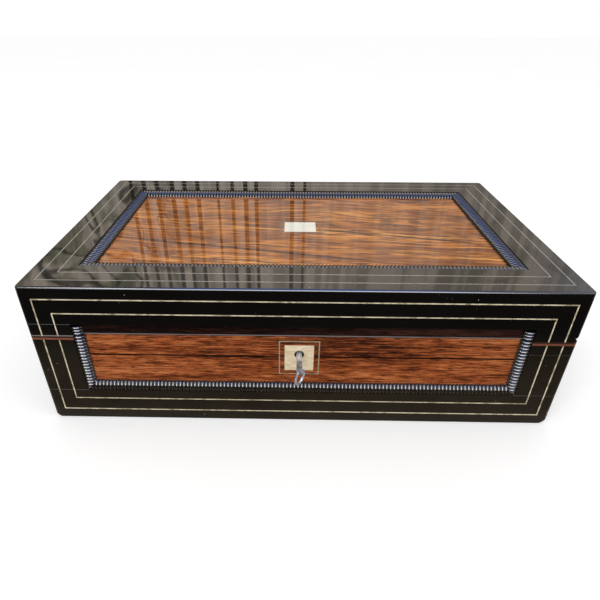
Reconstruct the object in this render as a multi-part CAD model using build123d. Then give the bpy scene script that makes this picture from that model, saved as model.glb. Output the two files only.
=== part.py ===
from build123d import *
import os
from math import atan2, cos, degrees, radians, sqrt

# A folding writing slope, closed. X runs to the right, Y to the back, Z up.
# The origin is the middle of the underside. All sizes are in millimetres.

# Outside of the closed box
box_width = 400.0
box_depth = 239.0
box_height = 123.5
corner_round = 3.5
foot_round = 1.5
arris_round = 1.5

# Sloping parting of the lid from the base, and the axis of the back hinges
parting_front = 81.7
parting_gap = 0.5
hinge_out = 0.3
hinge_height = 61.75

# Carcass boards
wall = 11.0
lap = 7.0
bottom_thickness = 6.0
bottom_rebate = 6.0
core_thickness = 6.0
lipping = 2.9

# Raised borders, sunk panels and veneers
border = 5.0
veneer = 0.8
top_border_width = 33.0
front_border_width = 32.5
front_border_low = 30.0
front_border_high = 92.5

# Ripple mouldings: half-round bars turned into a row of beads
ripple_pitch = 2.7
ripple_depth = 0.7
top_ripple_width = 9.5
front_ripple_width = 8.0
ripple_height = 4.2
ripple_side_gap = 0.05
return_length = 7.6

# Brass stringing
string_width = 0.9
string_depth = 0.8
front_string_insets = (10.0, 21.7)
top_string_insets = (10.5, 22.2)

# Nacre plaque and escutcheon with their brass lines
plaque_size = (27.8, 21.8)
plaque_line_size = (36.0, 30.0)
escutcheon_size = (22.0, 23.7)
escutcheon_drop = 3.2
escutcheon_line_size = (30.7, 31.6)

# Lock and key
lock_x = -1.1
key_drop = 17.2
keyhole_radius = 3.7
keyhole_slot = 3.6
keyhole_drop = 7.2
key_tilt = 32.6
shank_radius = 2.2
shank_out = 15.8
bow_length = 13.6
bow_width = 12.0
bow_thickness = 1.7
bit_reach = 6.5
bit_width = 2.9
bit_thickness = 2.0
bit_clearance = 0.2
bow_round = 0.5
pin_radius = 1.1
running_gap = 0.05
case_width = 50.4
case_depth = 8.5
case_drop = 14.5
case_wall = 1.2
plate_ear = 5.8
plate_drop = 20.5
plate_screw_rise = 4.8
plate_thickness = 1.2
selvedge_ear = 2.0
selvedge_thickness = 1.6
selvedge_inset = 1.5
rim_screw_inset = 3.6
hook_thickness = 2.2
hook_length = 9.8
hook_lip = 1.6
hook_notch = 4.4
hook_depth = 5.4
bolt_thickness = 2.2
bolt_drop = 7.5
bolt_left_room = 2.0
bolt_travel = 5.0
bolt_clearance = 0.5
mouth_play = 1.5
spring_thickness = 1.2

# Butt hinges
hinge_x = 120.0
hinge_length = 50.0
leaf_width = 13.0
leaf_thickness = 1.5
knuckle_radius = 2.6
knuckle_count = 5
knuckle_gap = 0.1
hinge_pin_radius = 1.0
knuckle_clearance = 0.25
leaf_screw_inset = 7.2
leaf_screw_rows = (5.8, 9.1)

# Countersunk screws
screw_head = 2.4
screw_shank = 1.3
screw_length = 8.0
screw_slot = 0.6

# Inside of the base
divider = 5.0
inkwell_room = 48.0
tray_room = 50.0
tray_top = 60.0
tray_floor = 46.0
trough_radius = 20.0
trough_depth = 9.0
trough_end = 12.0
fit_gap = 0.2
lining = 0.6

# Inkwells
bottle_size = 36.0
bottle_height = 32.0
bottle_round = 4.0
neck_radius = 12.0
neck_height = 6.0
neck_root = 2.0
ink_radius = 9.0
ink_depth = 30.0
bottle_front_gap = 3.5
collar_radius = 14.0
collar_height = 4.5
cap_height = 4.0
cap_round = 1.5
cap_gap = 0.3
cap_ear = 2.0
cap_ear_width = 6.0
ear_root = 1.0
cap_out = 0.4

# Writing flaps
flap_sink = 3.0
flap_board = 4.2
flap_leather = 0.8
flap_edge_gap = 1.0
flap_margin = 12.0
flap_pin_radius = 1.2
flap_pin_length = 14.0
flap_pin_inset = 4.0
ledge = 5.0
ledge_end = 15.0
tab_width = 14.0
tab_length = 22.0
tab_thickness = 0.4

# Worn corners, as the reach of the wear along each edge
lid_right_wear = 7.0
lid_left_wear = 1.5
foot_right_wear = 7.0
foot_left_wear = 6.0

half_width = box_width / 2
half_depth = box_depth / 2
front = -half_depth
core_front = front + border
inner_front = core_front + wall
inner_back = half_depth - wall
inner_side = half_width - wall
hinge_y = half_depth + hinge_out
slope = degrees(atan2(parting_front - hinge_height, box_depth + hinge_out))
base_rim = -parting_gap / 2
lid_rim = parting_gap / 2
top_ceiling = box_height - border - core_thickness
recess_x = half_width - front_border_width
panel_face = front + border - veneer
top_panel_x = half_width - top_border_width
top_panel_y = half_depth - top_border_width
top_panel_face = box_height - border + veneer
tray_back = inner_front + tray_room
far = box_width
key_height = parting_front - key_drop
escutcheon_height = key_height - escutcheon_drop
case_low = key_height - case_drop
plate_low = key_height - plate_drop
bolt_low = key_height - bolt_drop
plate_width = case_width + 2 * plate_ear
selvedge_length = plate_width + 2 * selvedge_ear
bolt_left = case_width / 2 - case_wall - bolt_left_room
bolt_right = case_width / 2 - case_wall - bolt_travel
hook_spacing = 2 * (bolt_left - bolt_travel)


def block(x, y, z):
    """A box between three pairs of limits."""
    size = [high - low for low, high in (x, y, z)]
    middle = [(high + low) / 2 for low, high in (x, y, z)]
    return Pos(*middle) * Box(*size)


def on_slope(shape):
    """Carries a shape drawn flat, with the hinge axis as its X axis, onto the parting slope."""
    return Location((0, hinge_y, hinge_height), (-slope, 0, 0)) * shape


def slope_y(y):
    """Place along the slope of the point that lies at depth y."""
    return (y - hinge_y) / cos(radians(slope))


def slope_slab(low, high):
    """Everything between two heights over the parting plane."""
    return on_slope(block((-far, far), (-far, far), (low, high)))


def bar_along_x(radius, x, y, z):
    """A round bar along X."""
    return Pos((x[0] + x[1]) / 2, y, z) * Rot(0, 90, 0) * Cylinder(radius, x[1] - x[0])


def bar_along_y(radius, x, y, z):
    """A round bar along Y."""
    return Pos(x, (y[0] + y[1]) / 2, z) * Rot(90, 0, 0) * Cylinder(radius, y[1] - y[0])


def both_sides(shape):
    """A shape and its copy on the other side of the middle plane."""
    return [shape, shape.mirror(Plane.YZ)]


def solids_of(shapes):
    """All the solids of a shape or of a list of shapes."""
    if not isinstance(shapes, (list, tuple)):
        shapes = [shapes]
    return [solid for shape in shapes for solid in shape.solids()]


def write(name, shapes):
    """Writes one named piece, or one group of like pieces."""
    solids = solids_of(shapes)
    export_step(solids[0] if len(solids) == 1 else Compound(children=solids), f"parts/{name}.step")


def envelope():
    """The outside of the closed box, with its rounded corners and edges."""
    body = block((-half_width, half_width), (-half_depth, half_depth), (0, box_height))
    body = fillet(body.edges().filter_by(Axis.Z), corner_round)
    body = fillet(body.faces().sort_by(Axis.Z)[-1].edges(), arris_round)
    return fillet(body.faces().sort_by(Axis.Z)[0].edges(), foot_round)


def corner_wear(side, height, up, reach):
    """What wear takes off a front corner: the corner of a cube outside a ball."""
    size = 3 * reach
    radius = sqrt((size - reach) ** 2 + 2 * size**2)
    x = side * half_width
    middle = (x - side * size, front + size, height - up * size)
    cube = Pos(x - side * size / 2, front + size / 2, height - up * size / 2) * Box(size, size, size)
    return cube - Pos(*middle) * Sphere(radius)


def screw():
    """A countersunk slotted wood screw, pointing down, with its head at the origin."""
    head_height = screw_head - screw_shank
    head = Pos(0, 0, -head_height / 2) * Cone(screw_shank, screw_head, head_height)
    shank_length = screw_length - head_height
    shank = Pos(0, 0, -head_height - shank_length / 2) * Cylinder(screw_shank, shank_length)
    slot = Box(2 * screw_head, screw_slot, screw_slot)
    return head + shank - slot


# Carcass


def wall_boards():
    """Front, back, left and right boards at full height, rebated into each other at the corners."""
    tongue = wall - lap
    full_height = (0, box_height)
    front_board = block((-half_width, half_width), (core_front, inner_front), full_height)
    back_board = block((-half_width, half_width), (inner_back, half_depth), full_height)
    side = block((inner_side, half_width), (core_front + tongue, half_depth - tongue), full_height)
    right_board, left_board = both_sides(side)
    for board in (left_board, right_board):
        front_board -= board
        back_board -= board
    return front_board, back_board, left_board, right_board


def bottom_board():
    """The bottom, let into a rebate round the foot of the four boards."""
    rest = inner_side + bottom_rebate
    return block(
        (-rest, rest),
        (inner_front - bottom_rebate, inner_back + bottom_rebate),
        (0, bottom_thickness),
    )


def lipping_rails():
    """Four rails that cap the rim of the base, with the front one cut back for the panel."""
    height = (0, box_height)
    front_rail = block((-half_width, half_width), (front, inner_front), height)
    front_rail -= block((-recess_x, recess_x), (front, core_front), height)
    back_rail = block((-half_width, half_width), (inner_back, half_depth), height)
    side_rail = block((inner_side, half_width), (inner_front, inner_back), height)
    slab = slope_slab(base_rim - lipping, base_rim)
    return [rail & slab for rail in (front_rail, back_rail, *both_sides(side_rail))]


def front_rail(low, high):
    """A border strip of the front that runs the whole width."""
    return block((-half_width, half_width), (front, core_front), (low, high))


def front_posts(low, high):
    """The two border strips of the front that stand beside the panel."""
    return both_sides(block((recess_x, half_width), (front, core_front), (low, high)))


# Stringing, plaque and escutcheon


def ring(width, height, line, low, high):
    """A flat rectangular frame of one line width, centred on Z."""
    outside = block((-width / 2, width / 2), (-height / 2, height / 2), (low, high))
    inside_x = width / 2 - line
    inside_y = height / 2 - line
    return outside - block((-inside_x, inside_x), (-inside_y, inside_y), (low, high))


def face_front(shape, x, z, y):
    """Turns a shape drawn flat so that its +Z faces the viewer, at height z and depth y."""
    return Pos(x, y, z) * Rot(90, 0, 0) * shape


def front_strings():
    """Two rectangles of brass line let into the front face, each over lid and base together."""
    lines = []
    for inset in front_string_insets:
        width = box_width - 2 * inset + string_width
        height = box_height - 2 * inset + string_width
        line = ring(width, height, string_width, -string_depth, 0)
        lines.append(face_front(line, 0, box_height / 2, front))
    return lines


def top_strings():
    """Two rectangles of brass line let into the top."""
    lines = []
    for inset in top_string_insets:
        width = box_width - 2 * inset + string_width
        depth = box_depth - 2 * inset + string_width
        lines.append(Pos(0, 0, box_height) * ring(width, depth, string_width, -string_depth, 0))
    return lines


def inlay(size, line_size):
    """A small plate and the brass line round it, drawn flat under z = 0."""
    plate = block((-size[0] / 2, size[0] / 2), (-size[1] / 2, size[1] / 2), (-veneer, 0))
    return plate, ring(line_size[0], line_size[1], string_width, -veneer, 0)


def keyhole(radius, slot, y):
    """A round hole with a slot below it, cut through from one depth to another."""
    drop = (key_height - keyhole_drop, key_height)
    cut = block((lock_x - slot / 2, lock_x + slot / 2), y, drop)
    return bar_along_y(radius, lock_x, y, key_height) + cut


# Ripple mouldings


def ripple_bar(length, width):
    """A half-round bar of beads along X, lying on z = 0 from x = 0."""
    width = width - 2 * ripple_side_gap
    crest = (width**2 / 4 + ripple_height**2) / (2 * ripple_height)
    axis_z = ripple_height - crest
    root = crest - ripple_depth
    count = round(length / ripple_pitch)
    pitch = length / count
    edges = [Line((0, 0, axis_z), (0, 0, axis_z + root))]
    for i in range(count):
        start = (i * pitch, 0, axis_z + root)
        middle = ((i + 0.5) * pitch, 0, axis_z + crest)
        end = ((i + 1) * pitch, 0, axis_z + root)
        edges.append(ThreePointArc(start, middle, end))
    edges.append(Line((length, 0, axis_z + root), (length, 0, axis_z)))
    edges.append(Line((length, 0, axis_z), (0, 0, axis_z)))
    outline = make_face(Curve() + edges)
    bar = revolve(outline, Axis((0, 0, axis_z), (1, 0, 0)), 360)
    return bar & block((0, length), (-width, width), (0, 2 * width))


def mitred(bar, points):
    """A bar kept to a trapezium drawn in its own plane."""
    outline = make_face(Polyline(*points, close=True))
    return bar & extrude(outline, amount=2 * ripple_height, both=True)


def top_mouldings():
    """Four mitred runs of ripple moulding round the top panel."""
    w = top_ripple_width
    x = top_panel_x
    y = top_panel_y
    lift = Pos(0, 0, top_panel_face)
    long_bar = Pos(-x, -y + w / 2, 0) * ripple_bar(2 * x, w)
    front_run = mitred(long_bar, [(-x, -y), (x, -y), (x - w, -y + w), (-x + w, -y + w)])
    short_bar = Pos(-x + w / 2, -y, 0) * Rot(0, 0, 90) * ripple_bar(2 * y, w)
    left_run = mitred(short_bar, [(-x, -y), (-x + w, -y + w), (-x + w, y - w), (-x, y)])
    runs = [front_run, front_run.mirror(Plane.XZ), left_run, left_run.mirror(Plane.YZ)]
    return [lift * run for run in runs]


def front_mouldings():
    """Three mitred runs round the front panel of the base, drawn flat and then stood up."""
    w = front_ripple_width
    x = recess_x
    high = parting_front - front_border_low
    long_bar = Pos(-x, w / 2, 0) * ripple_bar(2 * x, w)
    bottom_run = mitred(long_bar, [(-x, 0), (x, 0), (x - w, w), (-x + w, w)])
    short_bar = Pos(-x + w / 2, 0, 0) * Rot(0, 0, 90) * ripple_bar(high, w)
    left_run = mitred(short_bar, [(-x, 0), (-x + w, w), (-x + w, high), (-x, high)])
    stood = [face_front(run, 0, front_border_low, panel_face) for run in (bottom_run, left_run)]
    return [stood[0] & below_rim, *both_sides(stood[1] & below_rim)]


def front_returns():
    """The short returns of ripple moulding on the lid, over the two side runs."""
    low = parting_front + parting_gap
    middle = -recess_x + front_ripple_width / 2
    bar = Rot(0, 0, 90) * ripple_bar(return_length, front_ripple_width)
    left = face_front(bar, middle, low, panel_face) & above_rim
    return both_sides(left)


# Lock and key


def lock_top(depth_in):
    """Limits along the slope of what is let into the rim over the lock."""
    return slope_y(core_front + selvedge_inset + depth_in), slope_y(inner_front)


def hook_places():
    """Middle of each hook along X."""
    return lock_x - hook_spacing / 2, lock_x + hook_spacing / 2


def rim_screw_places():
    """Screws at the two ends of the selvedge and the link plate."""
    reach = selvedge_length / 2 - rim_screw_inset
    middle = sum(lock_top(0)) / 2
    return [(lock_x - reach, middle), (lock_x + reach, middle)]


def selvedge():
    """The lock's top plate, flush with the rim, with a slot for each hook."""
    x = (lock_x - selvedge_length / 2, lock_x + selvedge_length / 2)
    plate = block(x, lock_top(0), (base_rim - selvedge_thickness, base_rim))
    middle = slope_y(inner_front - plate_thickness - hook_depth / 2)
    for hook_x in hook_places():
        slot_x = (hook_x - hook_thickness, hook_x + hook_thickness)
        slot_y = (middle - hook_depth / 2 - bolt_clearance, middle + hook_depth / 2 + fit_gap)
        plate -= block(slot_x, slot_y, (base_rim - selvedge_thickness, base_rim))
    return plate


def lock_case():
    """An open-backed case under the selvedge, with a hole for the key in its face."""
    x = case_width / 2
    back = inner_front - plate_thickness
    outside = block((lock_x - x, lock_x + x), (inner_front - case_depth, back), (case_low, box_height))
    inside = block(
        (lock_x - x + case_wall, lock_x + x - case_wall),
        (inner_front - case_depth + case_wall, back),
        (case_low + case_wall, box_height),
    )
    case = (outside - inside) & slope_slab(-far, base_rim - selvedge_thickness)
    hole = keyhole(shank_radius + running_gap, bit_thickness + bit_clearance, (front, back))
    return case - hole


def lock_plate():
    """The plate that closes the case on the inside of the box."""
    x = plate_width / 2
    y = (inner_front - plate_thickness, inner_front)
    plate = block((lock_x - x, lock_x + x), y, (plate_low, box_height))
    return plate & slope_slab(-far, base_rim - selvedge_thickness)


def drill_pin():
    """The fixed pin that the hollow end of the key turns on."""
    back = inner_front - plate_thickness
    return bar_along_y(pin_radius, lock_x, (inner_front - case_depth + 2 * case_wall, back), key_height)


def lock_spring():
    """A bent strip under the bolt that presses it up."""
    x = case_width / 2 - case_wall - spring_thickness
    y = (inner_front - plate_thickness - bolt_thickness, inner_front - plate_thickness - fit_gap)
    foot_low = case_low + case_wall
    spring = block((lock_x - x, lock_x + x), y, (foot_low, foot_low + spring_thickness))
    for side in (-1, 1):
        tip = lock_x + side * x
        spring += block(sorted((tip, tip - side * spring_thickness)), y, (foot_low, bolt_low - fit_gap))
    return spring


def bolt():
    """The sliding bolt: a plate with two undercut mouths whose tongues pass through the hooks."""
    high = hook_bottom + hook_lip + hook_notch - 2 * fit_gap
    back = inner_front - plate_thickness - fit_gap
    y = (back - bolt_thickness, back)
    plate = block((lock_x - bolt_left, lock_x + bolt_right), y, (bolt_low, high))
    mouth_low = hook_bottom - bolt_clearance
    tongue_low = hook_bottom + hook_lip + fit_gap
    for hook_x in hook_places():
        near = hook_x - hook_thickness / 2 - bolt_clearance
        right = hook_x + hook_thickness / 2 + mouth_play
        plate -= block((near, right), y, (mouth_low, high))
        plate -= block((near - bolt_travel, near), y, (mouth_low, tongue_low))
    slot = pin_radius + fit_gap
    left = lock_x - bolt_travel
    right = lock_x + 2 * bolt_clearance
    plate -= block((left, right), y, (key_height - slot, key_height + slot))
    return plate - bar_along_y(slot, left, y, key_height) - bar_along_y(slot, right, y, key_height)


def key():
    """The key in its keyhole: hollow shank, bit inside the case, and an oval bow outside."""
    shank_end = inner_front - plate_thickness - bolt_thickness - 2 * fit_gap
    shank = bar_along_y(shank_radius, 0, (front - shank_out, shank_end), 0)
    bit_y = (shank_end - bit_width, shank_end)
    shank += block((-bit_thickness / 2, bit_thickness / 2), bit_y, (-bit_reach, 0))
    shank -= bar_along_y(pin_radius + running_gap, 0, (core_front, shank_end), 0)
    oval = Ellipse(bow_length / 2, bow_width / 2) - Ellipse(
        bow_length / 2 - bow_thickness, bow_width / 2 - bow_thickness
    )
    bow = extrude(oval, amount=bow_thickness / 2, both=True)
    bow = fillet(bow.edges(), bow_round)
    bow = Pos(0, front - shank_out - bow_length / 2 + bow_thickness, 0) * Rot(0, 90, 0) * Rot(0, 0, 90) * bow
    return Pos(lock_x, 0, key_height) * Rot(0, key_tilt, 0) * (shank + bow)


def link_plate():
    """The plate in the lid's rim, with two hooks that drop into the lock."""
    x = (lock_x - selvedge_length / 2, lock_x + selvedge_length / 2)
    plate = block(x, lock_top(0), (lid_rim, lid_rim + selvedge_thickness))
    back = inner_front - plate_thickness
    plate = on_slope(plate)
    for hook_x in hook_places():
        x = (hook_x - hook_thickness / 2, hook_x + hook_thickness / 2)
        hook = block(x, (back - hook_depth, back - fit_gap), (hook_bottom, parting_front))
        notch_z = (hook_bottom + hook_lip, hook_bottom + hook_lip + hook_notch)
        hook -= block(x, (back - bolt_thickness - 2 * fit_gap, back), notch_z)
        plate += hook & slope_slab(-far, lid_rim)
    return plate


# Hinges


def knuckles(start):
    """Limits along X of every second knuckle of a hinge."""
    step = hinge_length / knuckle_count
    low = -hinge_length / 2
    return [
        (low + i * step + knuckle_gap / 2, low + (i + 1) * step - knuckle_gap / 2)
        for i in range(start, knuckle_count, 2)
    ]


def hinge_screw_places():
    """Three screws in each leaf, the middle one nearer to its edge."""
    reach = hinge_length / 2 - leaf_screw_inset
    near_row, far_row = leaf_screw_rows
    return [(-reach, -near_row), (0, -far_row), (reach, -near_row)]


def hinge_leaf(start, side):
    """One leaf with its knuckles, drawn with the hinge axis as X; side is -1 below and 1 above."""
    z = sorted((side * parting_gap / 2, side * (parting_gap / 2 + leaf_thickness)))
    leaf = block((-hinge_length / 2, hinge_length / 2), (-leaf_width, 0), z)
    for x in knuckles(1 - start):
        grown = (x[0] - knuckle_gap, x[1] + knuckle_gap)
        leaf -= bar_along_x(knuckle_radius + knuckle_clearance / 2, grown, 0, 0)
    for x in knuckles(start):
        leaf += bar_along_x(knuckle_radius, x, 0, 0)
    return leaf - bar_along_x(hinge_pin_radius + running_gap, (-hinge_length, hinge_length), 0, 0)


def hinge_screws(side):
    """The screws of one leaf."""
    turn = Rot(0 if side < 0 else 180, 0, 0)
    head = side * parting_gap / 2
    return [Pos(x, y, head) * turn * screw() for x, y in hinge_screw_places()]


def at_hinges(shape):
    """A shape at both hinges, on the slope."""
    return [on_slope(Pos(side * hinge_x, 0, 0) * shape) for side in (-1, 1)]


def hinge_room(side):
    """What a hinge takes out of the boards beside it: its mortise and the notch for its knuckles."""
    edge = hinge_length / 2 + fit_gap
    z = sorted((side * parting_gap / 2, side * (parting_gap / 2 + leaf_thickness)))
    mortise = block((-edge, edge), (-leaf_width - fit_gap, leaf_width), z)
    return mortise + bar_along_x(knuckle_radius + knuckle_clearance, (-edge, edge), 0, 0)


# Inside of the base


def dividers():
    """The board behind the pen tray and the two boards beside the inkwells."""
    top = slope_slab(-far, base_rim - flap_sink - flap_board - flap_leather - fit_gap)
    long_y = (tray_back, tray_back + divider)
    long_board = block((-inner_side, inner_side), long_y, (bottom_thickness, box_height))
    edge = inner_side - inkwell_room
    short_z = (bottom_thickness, tray_top + divider)
    short_board = block((edge - divider, edge), (inner_front, tray_back), short_z)
    return [long_board & top, *both_sides(short_board)]


def pen_tray():
    """A tray on two end boards, with a long trough for pens."""
    x = inner_side - inkwell_room - divider - fit_gap
    y = (inner_front + fit_gap, tray_back - fit_gap)
    tray = block((-x, x), y, (tray_floor, tray_top))
    for side in (-1, 1):
        tray += block(sorted((side * x, side * (x - divider))), y, (bottom_thickness, tray_floor))
    middle = (y[0] + y[1]) / 2
    height = tray_top - trough_depth + trough_radius
    end = x - trough_end - trough_radius
    trough = bar_along_x(trough_radius, (-end, end), middle, height)
    for side in (-1, 1):
        trough += Pos(side * end, middle, height) * Sphere(trough_radius)
    return tray - trough


def well_lining():
    """The lining of the paper well."""
    side = inner_side - fit_gap
    return block(
        (-side, side),
        (tray_back + divider + fit_gap, inner_back - fit_gap),
        (bottom_thickness, bottom_thickness + lining),
    )


def flap_ledges(low, high):
    """Two ledges along the side boards that a flap lies on, between two heights over the slope."""
    y = (tray_back + divider, inner_back - ledge_end)
    rail = block((inner_side - ledge, inner_side), y, (0, box_height))
    return both_sides(rail & slope_slab(low, high))


bottle_y = inner_front + bottle_front_gap + bottle_size / 2
bottle_x = inner_side - inkwell_room / 2
neck_top = bottom_thickness + bottle_height + neck_height
cap_low = neck_top + cap_gap
cap_axis_out = collar_radius + cap_ear + cap_out
cap_axis_z = neck_top + cap_gap


def bottle():
    """A square glass inkwell with a round neck."""
    foot = bottom_thickness
    side = (-bottle_size / 2, bottle_size / 2)
    body = block(side, side, (foot, foot + bottle_height))
    body = fillet(body.edges().filter_by(Axis.Z), bottle_round)
    body = fillet(body.faces().sort_by(Axis.Z)[-1].edges(), bottle_round / 2)
    neck = neck_height + neck_root
    body += Pos(0, 0, neck_top - neck / 2) * Cylinder(neck_radius, neck)
    body -= Pos(0, 0, neck_top) * Cylinder(ink_radius, 2 * ink_depth)
    return Pos(bottle_x, bottle_y, 0) * body


def collar():
    """The brass collar round a neck, with two ears for the cap's pin."""
    low = neck_top - collar_height
    band = Pos(0, 0, low + collar_height / 2) * (
        Cylinder(collar_radius, collar_height) - Cylinder(neck_radius + fit_gap, collar_height)
    )
    outer = cap_ear_width / 2 + cap_ear
    for side in (-1, 1):
        x = sorted((side * (cap_ear_width / 2 + knuckle_gap), side * outer))
        ear = block(x, (collar_radius - ear_root, cap_axis_out), (low, cap_axis_z))
        ear += bar_along_x(cap_ear, x, cap_axis_out, cap_axis_z)
        band += ear
    band -= bar_along_x(hinge_pin_radius + running_gap, (-outer, outer), cap_axis_out, cap_axis_z)
    return Pos(bottle_x, bottle_y, 0) * band


def cap_pin():
    """The pin of a cap's hinge."""
    outer = cap_ear_width / 2 + cap_ear
    pin = bar_along_x(hinge_pin_radius, (-outer, outer), cap_axis_out, cap_axis_z)
    return Pos(bottle_x, bottle_y, 0) * pin


def cap():
    """A domed brass cap with one ear between the collar's two."""
    lid = Pos(0, 0, cap_low + cap_height / 2) * Cylinder(collar_radius, cap_height)
    lid = fillet(lid.faces().sort_by(Axis.Z)[-1].edges(), cap_round)
    x = (-cap_ear_width / 2, cap_ear_width / 2)
    lid += block(x, (collar_radius - ear_root, cap_axis_out), (cap_low, cap_low + cap_ear))
    lid += bar_along_x(cap_ear, x, cap_axis_out, cap_axis_z)
    lid -= bar_along_x(hinge_pin_radius + running_gap, x, cap_axis_out, cap_axis_z)
    return Pos(bottle_x, bottle_y, 0) * lid


# Writing flaps


def flap(front_edge, side):
    """A flap's board, leather and pivot pins on the slope; side is -1 in the base and 1 in the lid."""
    x = inner_side - flap_edge_gap
    y = (slope_y(front_edge), slope_y(inner_back - flap_edge_gap))
    face = side * (parting_gap / 2 + flap_sink)
    back = face + side * (flap_board + flap_leather)
    board = block((-x, x), y, sorted((face, back)))
    inner = (-x + flap_margin, x - flap_margin)
    inner_y = (y[0] + flap_margin, y[1] - flap_margin)
    leather = block(inner, inner_y, sorted((face, face + side * flap_leather)))
    board -= leather
    pin_y = y[1] - flap_pin_inset
    pin_x = (x - flap_pin_length / 2, x + flap_pin_length / 2)
    pin = bar_along_x(flap_pin_radius, pin_x, pin_y, (face + back) / 2)
    board -= pin
    board -= pin.mirror(Plane.YZ)
    hole = bar_along_x(flap_pin_radius + running_gap, pin_x, pin_y, (face + back) / 2)
    return [on_slope(shape) for shape in (board, leather, pin, hole)]


def flap_tab():
    """A ribbon tab glued on the base flap, by which it is lifted."""
    face = base_rim - flap_sink
    edge = slope_y(tray_back + flap_edge_gap)
    x = (-tab_width / 2, tab_width / 2)
    return on_slope(block(x, (edge, edge + tab_length), (face, face + tab_thickness)))


def flap_catch():
    """A spring strip in the lid's front board whose round nib holds the lid flap."""
    middle = lid_rim + flap_sink + flap_board / 2
    y = slope_y(inner_front)
    height = (middle - flap_board / 2, middle + flap_board)
    strip = block((-tab_width / 2, tab_width / 2), (y - flap_leather, y), height)
    nib = Pos(0, y, middle) * Sphere(flap_edge_gap - fit_gap)
    return on_slope(strip + nib)


os.makedirs("parts", exist_ok=True)

box_shape = envelope()
below_rim = slope_slab(-far, base_rim)
below_lipping = slope_slab(-far, base_rim - lipping)
above_rim = slope_slab(lid_rim, far)
hook_bottom = parting_front - hook_length

selvedge_mortise = on_slope(
    block(
        (lock_x - selvedge_length / 2, lock_x + selvedge_length / 2),
        lock_top(0),
        (base_rim - selvedge_thickness, base_rim),
    )
)
link_mortise = on_slope(
    block(
        (lock_x - selvedge_length / 2, lock_x + selvedge_length / 2),
        lock_top(0),
        (lid_rim, lid_rim + selvedge_thickness),
    )
)
case_mortise = block(
    (lock_x - case_width / 2, lock_x + case_width / 2),
    (inner_front - case_depth, inner_front),
    (case_low, box_height),
)
plate_mortise = block(
    (lock_x - plate_width / 2, lock_x + plate_width / 2),
    (inner_front - plate_thickness, inner_front),
    (plate_low, box_height),
)
lock_hole = keyhole(keyhole_radius, keyhole_slot, (front, inner_front))

base_hinge_screws = [s for one in hinge_screws(-1) for s in at_hinges(one)]
lid_hinge_screws = [s for one in hinge_screws(1) for s in at_hinges(one)]
selvedge_screws = [on_slope(Pos(x, y, base_rim) * screw()) for x, y in rim_screw_places()]
link_screws = [on_slope(Pos(x, y, lid_rim) * Rot(180, 0, 0) * screw()) for x, y in rim_screw_places()]
plate_screw_x = (plate_width / 2 + case_width / 2) / 2
plate_screws = []
for side in (-1, 1):
    place = Pos(lock_x + side * plate_screw_x, inner_front, plate_low + plate_screw_rise)
    plate_screws.append(place * Rot(-90, 0, 0) * screw())
base_hinge_rooms = at_hinges(hinge_room(-1))
lid_hinge_rooms = at_hinges(hinge_room(1))

base_flap = flap(tray_back + flap_edge_gap, -1)
lid_flap = flap(inner_front + flap_edge_gap, 1)


def cut(board, tools):
    """A board less every tool that reaches it."""
    for tool in tools:
        board -= tool
    return board


# Base carcass
bottom = bottom_board()
base_front, base_back, base_left, base_right = wall_boards()
lock_tools = [case_mortise, plate_mortise, lock_hole, *selvedge_screws, *plate_screws]
foot_wear = [
    corner_wear(1, 0, -1, foot_right_wear),
    corner_wear(-1, 0, -1, foot_left_wear),
]
write("base_front_board", cut(base_front & below_lipping, [bottom, *lock_tools, *foot_wear]) & box_shape)
back_tools = [bottom, *base_hinge_rooms, *base_hinge_screws]
write("base_back_board", cut(base_back & below_lipping, back_tools) & box_shape)
base_flap_holes = both_sides(base_flap[3])
write("base_left_board", cut(base_left & below_lipping, [bottom, *base_flap_holes]) & box_shape)
write("base_right_board", cut(base_right & below_lipping, [bottom, *base_flap_holes]) & box_shape)
write("base_bottom_board", bottom)

rail_tools = [case_mortise, plate_mortise, selvedge_mortise, *selvedge_screws]
rail_tools += [*base_hinge_rooms, *base_hinge_screws]
write("base_lipping", [cut(rail, rail_tools) & box_shape for rail in lipping_rails()])

front_lines = front_strings()
base_strips = [front_rail(0, front_border_low)]
base_strips += [post & below_lipping for post in front_posts(front_border_low, parting_front)]
write("base_front_border", [cut(strip, front_lines + foot_wear) & box_shape for strip in base_strips])
base_lines = [line & below_lipping for line in front_lines]
write("base_stringing", base_lines)

# Front panel, escutcheon and mouldings
escutcheon, escutcheon_line = inlay(escutcheon_size, escutcheon_line_size)
escutcheon = face_front(escutcheon, lock_x, escutcheon_height, panel_face)
escutcheon_line = face_front(escutcheon_line, lock_x, escutcheon_height, panel_face)
panel = block((-recess_x, recess_x), (panel_face, core_front), (front_border_low, parting_front))
panel = cut(panel & below_rim, [escutcheon, escutcheon_line])
write("base_front_panel", panel)
write("escutcheon", escutcheon - lock_hole)
write("escutcheon_line", escutcheon_line)
write("base_front_moulding", front_mouldings())

# Lock and key
selvedge_plate = cut(on_slope(selvedge()), selvedge_screws)
write("lock_selvedge", selvedge_plate)
write("lock_case", lock_case())
write("lock_plate", cut(lock_plate(), plate_screws))
write("lock_drill_pin", drill_pin())
write("lock_spring", lock_spring())
write("lock_screws", selvedge_screws + plate_screws)
write("lock_bolt", bolt())
write("key", key())

# Inside of the base
write("compartment_dividers", dividers())
write("pen_tray", pen_tray())
write("well_lining", well_lining())
flap_back = flap_sink + flap_board + flap_leather + fit_gap
write("base_flap_ledges", flap_ledges(base_rim - flap_back - ledge, base_rim - flap_back))
write("inkwell_bottles", both_sides(bottle()))
write("inkwell_collars", both_sides(collar()))
write("inkwell_hinge_pins", both_sides(cap_pin()))
right_cap, left_cap = both_sides(cap())
write("inkwell_cap_right", right_cap)
write("inkwell_cap_left", left_cap)

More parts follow.
